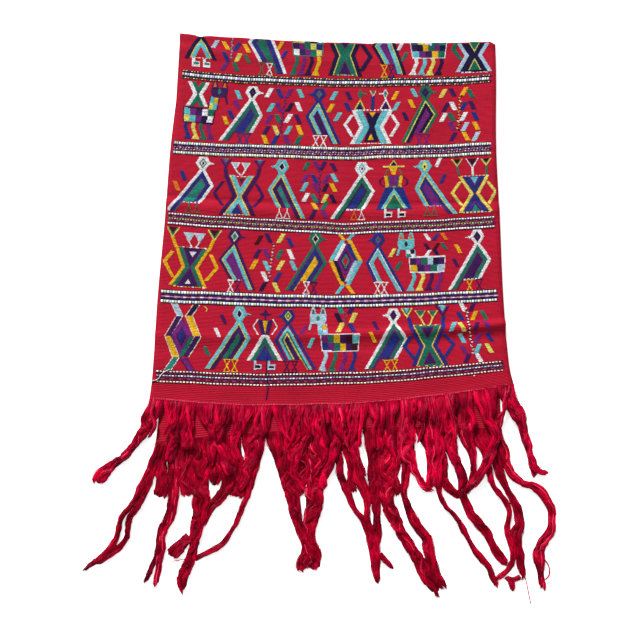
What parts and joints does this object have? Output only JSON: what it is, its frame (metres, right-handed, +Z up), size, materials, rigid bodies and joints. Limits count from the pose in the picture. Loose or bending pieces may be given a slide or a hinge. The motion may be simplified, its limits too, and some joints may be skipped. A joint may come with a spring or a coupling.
{
  "type": "folded brocaded throw",
  "caption": "Handwoven red cotton throw with brocaded birds, animals and figures between beaded bands, folded in half and laid flat, with long tangled fringes at its ends.",
  "frame": {"origin": "centre of the outline, fringes included, at the level of the surface that the throw lies on", "axes": "+Z up, +Y along the cloth towards its fold, +X across the cloth to the right when seen from above with the fold at the far side"},
  "size_m": [0.7435, 1.0154, 0.0117],
  "materials": {
    "brocaded_cotton": "matte ribbed cotton weave with coloured brocading yarns",
    "fringe_yarn": "loose cotton yarn with a soft sheen"
  },
  "bodies": {
    "root": {"throw_cloth": "brocaded_cotton", "upper_fringe": "fringe_yarn", "lower_fringe": "fringe_yarn"}
  },
  "joints": []
}
